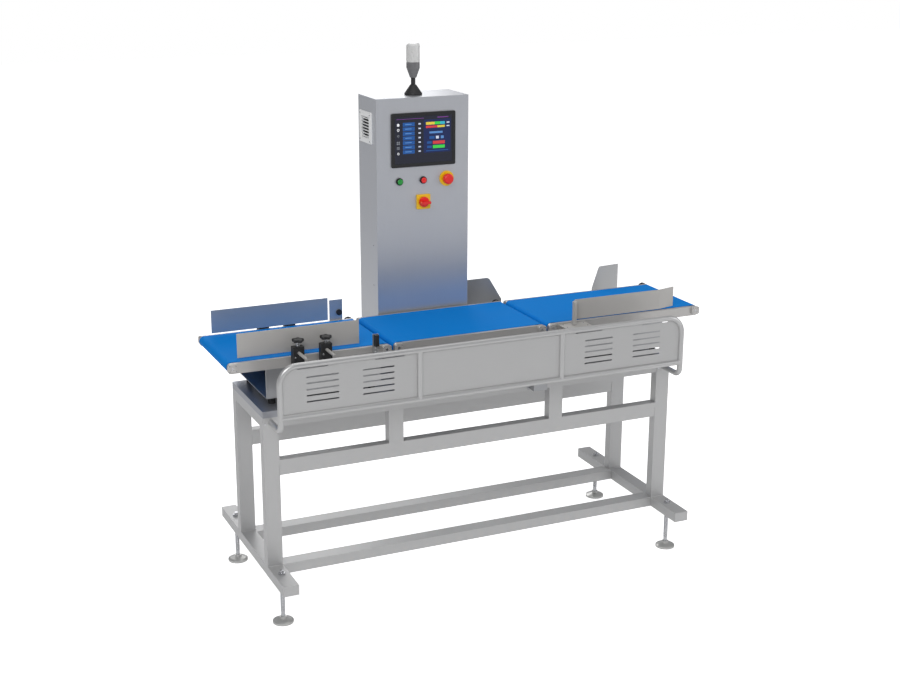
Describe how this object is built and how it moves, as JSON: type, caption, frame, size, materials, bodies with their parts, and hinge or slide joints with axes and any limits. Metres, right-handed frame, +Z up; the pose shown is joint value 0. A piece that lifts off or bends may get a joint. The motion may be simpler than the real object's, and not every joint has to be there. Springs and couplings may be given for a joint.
{
  "type": "conveyor checkweigher",
  "caption": "Belt conveyor checkweigher on a welded tube stand with slotted front guard, side guides, swing reject arm with chute, and a control pillar with screen, switches and beacon.",
  "frame": {"origin": "on the floor, in the middle of the machine outline seen from above", "axes": "+X along the product travel, from infeed to outfeed; +Y from the front guard to the control pillar; +Z up"},
  "size_m": [2.0307, 0.86, 2.075],
  "materials": {
    "frame_tube": "welded stainless box tube, bead blasted satin",
    "foot_metal": "turned stainless pads, satin",
    "machined_steel": "bright machined stainless",
    "deck_sheet": "satin stainless sheet",
    "guard_tube": "satin stainless tube",
    "guard_sheet": "satin stainless sheet",
    "stand_sheet": "satin stainless sheet",
    "aluminium_block": "machined aluminium",
    "black_rubber": "black rubber",
    "motor_casing": "cast aluminium casing",
    "conveyor_steel": "polished stainless side rails and bed",
    "blue_belt": "smooth blue food belt",
    "black_plastic": "moulded black plastic",
    "guide_sheet": "polished stainless sheet",
    "pillar_sheet": "brushed stainless sheet",
    "module_plastic": "dark grey module housings",
    "screen_plastic": "black screen surround",
    "screen_display": "lit touch display",
    "green_plastic": "green button",
    "red_plastic": "red button",
    "yellow_plastic": "yellow plate",
    "white_plastic": "white vent",
    "grey_plastic": "grey beacon cup",
    "lens_plastic": "translucent beacon lens"
  },
  "bodies": {
    "root": {"beacon_base": "black_plastic", "beacon_cup": "grey_plastic", "beacon_lens": "lens_plastic", "beams": "frame_tube", "belt_motors": "motor_casing", "bolts": "machined_steel", "button_bezels": "machined_steel", "conveyor_stands": "stand_sheet", "deck_cover": "deck_sheet", "eye_plates": "guide_sheet", "foot_bars": "frame_tube", "foot_pads": "foot_metal", "foot_stems": "machined_steel", "guard_panels": "guard_sheet", "guard_rails": "guard_tube", "guide_clamps": "black_plastic", "infeed_belt": "blue_belt", "infeed_frame": "conveyor_steel", "load_cell": "aluminium_block", "outfeed_belt": "blue_belt", "outfeed_frame": "conveyor_steel", "photo_eye": "black_plastic", "pillar_arms": "frame_tube", "pillar_modules": "module_plastic", "pillar_shell": "pillar_sheet", "rear_cover": "pillar_sheet", "reject_actuator": "motor_casing", "reject_bracket": "guide_sheet", "reject_chute": "guide_sheet", "screen_frame": "screen_plastic", "screen_glass": "screen_display", "stand_feet": "black_rubber", "toothed_belts": "black_rubber", "uprights": "frame_tube", "vent_louvre": "white_plastic", "weigh_belt": "blue_belt", "weigh_frame": "conveyor_steel", "weigh_supports": "stand_sheet", "yellow_plates": "yellow_plastic"},
    "estop_button": {"estop_button": "red_plastic"},
    "fan_rotor": {"fan_rotor": "black_plastic"},
    "front_guide": {"front_guide": "guide_sheet"},
    "front_knob_1": {"front_knob_1": "black_plastic"},
    "front_knob_2": {"front_knob_2": "black_plastic"},
    "infeed_drive_roller": {"infeed_drive_roller": "machined_steel"},
    "infeed_idle_roller": {"infeed_idle_roller": "machined_steel"},
    "infeed_pulley": {"infeed_pulley": "machined_steel"},
    "isolator_handle": {"isolator_handle": "red_plastic"},
    "outfeed_drive_roller": {"outfeed_drive_roller": "machined_steel"},
    "outfeed_idle_roller": {"outfeed_idle_roller": "machined_steel"},
    "outfeed_pulley": {"outfeed_pulley": "machined_steel"},
    "rear_guide": {"rear_guide": "guide_sheet"},
    "rear_knob_1": {"rear_knob_1": "black_plastic"},
    "rear_knob_2": {"rear_knob_2": "black_plastic"},
    "reject_arm": {"reject_arm": "guide_sheet"},
    "start_button": {"start_button": "green_plastic"},
    "stop_button": {"stop_button": "red_plastic"},
    "weigh_drive_roller": {"weigh_drive_roller": "machined_steel"},
    "weigh_idle_roller": {"weigh_idle_roller": "machined_steel"},
    "weigh_pulley": {"weigh_pulley": "machined_steel"}
  },
  "joints": [
    {"name": "infeed_drive_spin", "type": "hinge", "parent": "root", "child": "infeed_drive_roller", "pos_m": [-0.3895, 0.0195, 0.9805], "axis": [0, 1, 0], "continuous": true},
    {"name": "infeed_idle_spin", "type": "hinge", "parent": "root", "child": "infeed_idle_roller", "pos_m": [-0.9955, 0.0195, 0.9805], "axis": [0, 1, 0], "continuous": true},
    {"name": "infeed_pulley_spin", "type": "hinge", "parent": "root", "child": "infeed_pulley", "pos_m": [-0.3895, 0.235, 0.8905], "axis": [0, 1, 0], "continuous": true},
    {"name": "weigh_drive_spin", "type": "hinge", "parent": "root", "child": "weigh_drive_roller", "pos_m": [0.2755, 0.0195, 0.9805], "axis": [0, 1, 0], "continuous": true},
    {"name": "weigh_idle_spin", "type": "hinge", "parent": "root", "child": "weigh_idle_roller", "pos_m": [-0.3405, 0.0195, 0.9805], "axis": [0, 1, 0], "continuous": true},
    {"name": "weigh_pulley_spin", "type": "hinge", "parent": "root", "child": "weigh_pulley", "pos_m": [0.2755, 0.235, 0.8905], "axis": [0, 1, 0], "continuous": true},
    {"name": "outfeed_drive_spin", "type": "hinge", "parent": "root", "child": "outfeed_drive_roller", "pos_m": [0.9955, 0.0195, 0.9805], "axis": [0, 1, 0], "continuous": true},
    {"name": "outfeed_idle_spin", "type": "hinge", "parent": "root", "child": "outfeed_idle_roller", "pos_m": [0.3245, 0.0195, 0.9805], "axis": [0, 1, 0], "continuous": true},
    {"name": "outfeed_pulley_spin", "type": "hinge", "parent": "root", "child": "outfeed_pulley", "pos_m": [0.9955, 0.235, 0.8905], "axis": [0, 1, 0], "continuous": true},
    {"name": "front_guide_slide", "type": "slide", "parent": "root", "child": "front_guide", "axis": [0, 1, 0], "range_m": [-0.012, 0.085]},
    {"name": "rear_guide_slide", "type": "slide", "parent": "root", "child": "rear_guide", "axis": [0, -1, 0], "range_m": [-0.005, 0.085]},
    {"name": "front_knob_1_turn", "type": "hinge", "parent": "root", "child": "front_knob_1", "pos_m": [-0.749, -0.196, 1.05], "axis": [0, 0, 1], "range_deg": [0, 360]},
    {"name": "rear_knob_1_turn", "type": "hinge", "parent": "root", "child": "rear_knob_1", "pos_m": [-0.749, 0.235, 1.05], "axis": [0, 0, 1], "range_deg": [0, 360]},
    {"name": "front_knob_2_turn", "type": "hinge", "parent": "root", "child": "front_knob_2", "pos_m": [-0.64, -0.196, 1.05], "axis": [0, 0, 1], "range_deg": [0, 360]},
    {"name": "rear_knob_2_turn", "type": "hinge", "parent": "root", "child": "rear_knob_2", "pos_m": [-0.64, 0.235, 1.05], "axis": [0, 0, 1], "range_deg": [0, 360]},
    {"name": "start_press", "type": "slide", "parent": "root", "child": "start_button", "axis": [0, 1, 0], "range_m": [0, 0.0035], "stiffness_N_per_m": 300},
    {"name": "stop_press", "type": "slide", "parent": "root", "child": "stop_button", "axis": [0, 1, 0], "range_m": [0, 0.0035], "stiffness_N_per_m": 300},
    {"name": "estop_press", "type": "slide", "parent": "root", "child": "estop_button", "axis": [0, 1, 0], "range_m": [0, 0.004]},
    {"name": "isolator_turn", "type": "hinge", "parent": "root", "child": "isolator_handle", "pos_m": [-0.06, 0.22, 1.45], "axis": [0, 1, 0], "range_deg": [0, 90]},
    {"name": "reject_swing", "type": "hinge", "parent": "root", "child": "reject_arm", "pos_m": [0.408, -0.208, 1.04], "axis": [0, 0, 1], "range_deg": [0, 42]},
    {"name": "fan_spin", "type": "hinge", "parent": "root", "child": "fan_rotor", "pos_m": [-0.248, 0.34, 1.749], "axis": [1, 0, 0], "continuous": true}
  ],
  "couplings": [
    {"joint": "infeed_idle_spin", "follows": "infeed_drive_spin", "ratio": 1},
    {"joint": "infeed_pulley_spin", "follows": "infeed_drive_spin", "ratio": 1},
    {"joint": "weigh_idle_spin", "follows": "weigh_drive_spin", "ratio": 1},
    {"joint": "weigh_pulley_spin", "follows": "weigh_drive_spin", "ratio": 1},
    {"joint": "outfeed_idle_spin", "follows": "outfeed_drive_spin", "ratio": 1},
    {"joint": "outfeed_pulley_spin", "follows": "outfeed_drive_spin", "ratio": 1}
  ]
}
